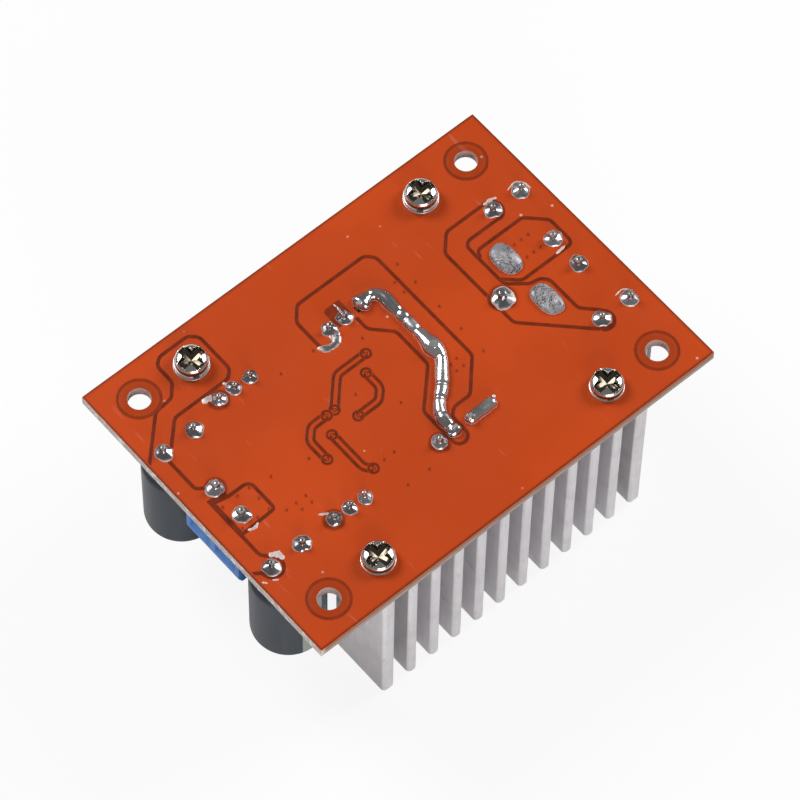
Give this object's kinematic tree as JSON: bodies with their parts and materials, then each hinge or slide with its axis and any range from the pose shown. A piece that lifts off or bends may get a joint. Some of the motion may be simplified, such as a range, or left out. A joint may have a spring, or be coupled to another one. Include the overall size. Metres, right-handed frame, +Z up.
{
  "type": "boost converter module",
  "caption": "Open circuit module that steps a supply voltage up: board between finned heatsinks, toroid inductor, capacitors, screw terminals and trimmers.",
  "frame": {"origin": "centre of the footprint, on the plane of the heatsink ends on which the module stands", "axes": "+X along the board towards the input terminal, +Z up, out of the solder face"},
  "size_m": [0.067, 0.048, 0.0294],
  "materials": {
    "solder_mask": "glossy orange solder mask over copper, on glass-fibre laminate",
    "sink_aluminium": "satin extruded aluminium",
    "nickel_screw": "bright nickel plating",
    "moulded_black": "fine matt moulding compound",
    "tinned_metal": "dull tin plating",
    "silicone_pad": "matt silicone sheet",
    "bush_plastic": "plain nylon",
    "core_coating": "satin powder coating",
    "enamelled_copper": "clear enamel over copper",
    "capacitor_sleeve": "semi-gloss shrunk sleeve",
    "bung_rubber": "matt rubber",
    "terminal_blue": "semi-matt moulded blue",
    "contact_brass": "tinned brass",
    "fuse_plastic": "clear tinted moulding",
    "trimmer_blue": "glossy moulded blue",
    "adjuster_brass": "turned brass",
    "chip_ceramic": "glazed chip body",
    "lamp_lens": "milky lens",
    "shunt_metal": "bare resistance alloy",
    "solder": "bright solder with flux streaks"
  },
  "bodies": {
    "module": {"amplifier_chip": "moulded_black", "amplifier_chip_leads": "tinned_metal", "chip_resistors": "chip_ceramic", "circuit_board": "solder_mask", "clamp_screws": "nickel_screw", "controller_chip": "moulded_black", "controller_chip_leads": "tinned_metal", "current_shunt": "shunt_metal", "diode_case": "moulded_black", "diode_leads": "tinned_metal", "front_heatsink": "sink_aluminium", "front_trimmer_case": "trimmer_blue", "front_trimmer_pins": "tinned_metal", "fuse_body": "fuse_plastic", "fuse_element": "tinned_metal", "heatsink_flat_washers": "nickel_screw", "heatsink_screws": "nickel_screw", "heatsink_spring_washers": "nickel_screw", "indicator_led": "lamp_lens", "inductor_core": "core_coating", "inductor_winding": "enamelled_copper", "input_capacitor_front_bung": "bung_rubber", "input_capacitor_front_can": "capacitor_sleeve", "input_capacitor_front_leads": "tinned_metal", "input_capacitor_rear_bung": "bung_rubber", "input_capacitor_rear_can": "capacitor_sleeve", "input_capacitor_rear_leads": "tinned_metal", "input_terminal_contacts": "contact_brass", "input_terminal_housing": "terminal_blue", "insulating_bushes": "bush_plastic", "insulating_pads": "silicone_pad", "output_capacitor_front_bung": "bung_rubber", "output_capacitor_front_can": "capacitor_sleeve", "output_capacitor_front_leads": "tinned_metal", "output_capacitor_rear_bung": "bung_rubber", "output_capacitor_rear_can": "capacitor_sleeve", "output_capacitor_rear_leads": "tinned_metal", "output_terminal_contacts": "contact_brass", "output_terminal_housing": "terminal_blue", "rear_heatsink": "sink_aluminium", "rear_trimmer_case": "trimmer_blue", "rear_trimmer_pins": "tinned_metal", "solder_bar": "solder", "solder_joints": "solder", "solder_run": "solder", "transistor_case": "moulded_black", "transistor_leads": "tinned_metal"},
    "input_front_guard": {"input_front_wire_guard": "tinned_metal"},
    "input_front_screw": {"input_front_terminal_screw": "nickel_screw"},
    "input_rear_guard": {"input_rear_wire_guard": "tinned_metal"},
    "input_rear_screw": {"input_rear_terminal_screw": "nickel_screw"},
    "output_front_guard": {"output_front_wire_guard": "tinned_metal"},
    "output_front_screw": {"output_front_terminal_screw": "nickel_screw"},
    "output_rear_guard": {"output_rear_wire_guard": "tinned_metal"},
    "output_rear_screw": {"output_rear_terminal_screw": "nickel_screw"},
    "front_adjuster": {"front_trimmer_adjuster": "adjuster_brass"},
    "rear_adjuster": {"rear_trimmer_adjuster": "adjuster_brass"}
  },
  "joints": [
    {"name": "input_front_guard_slide", "type": "slide", "parent": "module", "child": "input_front_guard", "axis": [0, 0, 1], "range_m": [0, 0.002]},
    {"name": "input_front_screw_turn", "type": "hinge", "parent": "input_front_guard", "child": "input_front_screw", "pos_m": [0.0284, -0.00254, 0.018], "axis": [0, 0, 1], "range_deg": [0, 1440]},
    {"name": "input_rear_guard_slide", "type": "slide", "parent": "module", "child": "input_rear_guard", "axis": [0, 0, 1], "range_m": [0, 0.002]},
    {"name": "input_rear_screw_turn", "type": "hinge", "parent": "input_rear_guard", "child": "input_rear_screw", "pos_m": [0.0284, 0.00254, 0.018], "axis": [0, 0, 1], "range_deg": [0, 1440]},
    {"name": "output_front_guard_slide", "type": "slide", "parent": "module", "child": "output_front_guard", "axis": [0, 0, 1], "range_m": [0, 0.002]},
    {"name": "output_front_screw_turn", "type": "hinge", "parent": "output_front_guard", "child": "output_front_screw", "pos_m": [-0.0284, -0.00254, 0.018], "axis": [0, 0, 1], "range_deg": [0, 1440]},
    {"name": "output_rear_guard_slide", "type": "slide", "parent": "module", "child": "output_rear_guard", "axis": [0, 0, 1], "range_m": [0, 0.002]},
    {"name": "output_rear_screw_turn", "type": "hinge", "parent": "output_rear_guard", "child": "output_rear_screw", "pos_m": [-0.0284, 0.00254, 0.018], "axis": [0, 0, 1], "range_deg": [0, 1440]},
    {"name": "front_adjuster_turn", "type": "hinge", "parent": "module", "child": "front_adjuster", "pos_m": [-0.02113, -0.0099, 0.015], "axis": [0, 0, 1], "continuous": true},
    {"name": "rear_adjuster_turn", "type": "hinge", "parent": "module", "child": "rear_adjuster", "pos_m": [-0.02113, 0.0113, 0.015], "axis": [0, 0, 1], "continuous": true}
  ],
  "couplings": [
    {"joint": "input_front_screw_turn", "follows": "input_front_guard_slide", "rad_per_m": 12566},
    {"joint": "input_rear_screw_turn", "follows": "input_rear_guard_slide", "rad_per_m": 12566},
    {"joint": "output_front_screw_turn", "follows": "output_front_guard_slide", "rad_per_m": 12566},
    {"joint": "output_rear_screw_turn", "follows": "output_rear_guard_slide", "rad_per_m": 12566}
  ]
}
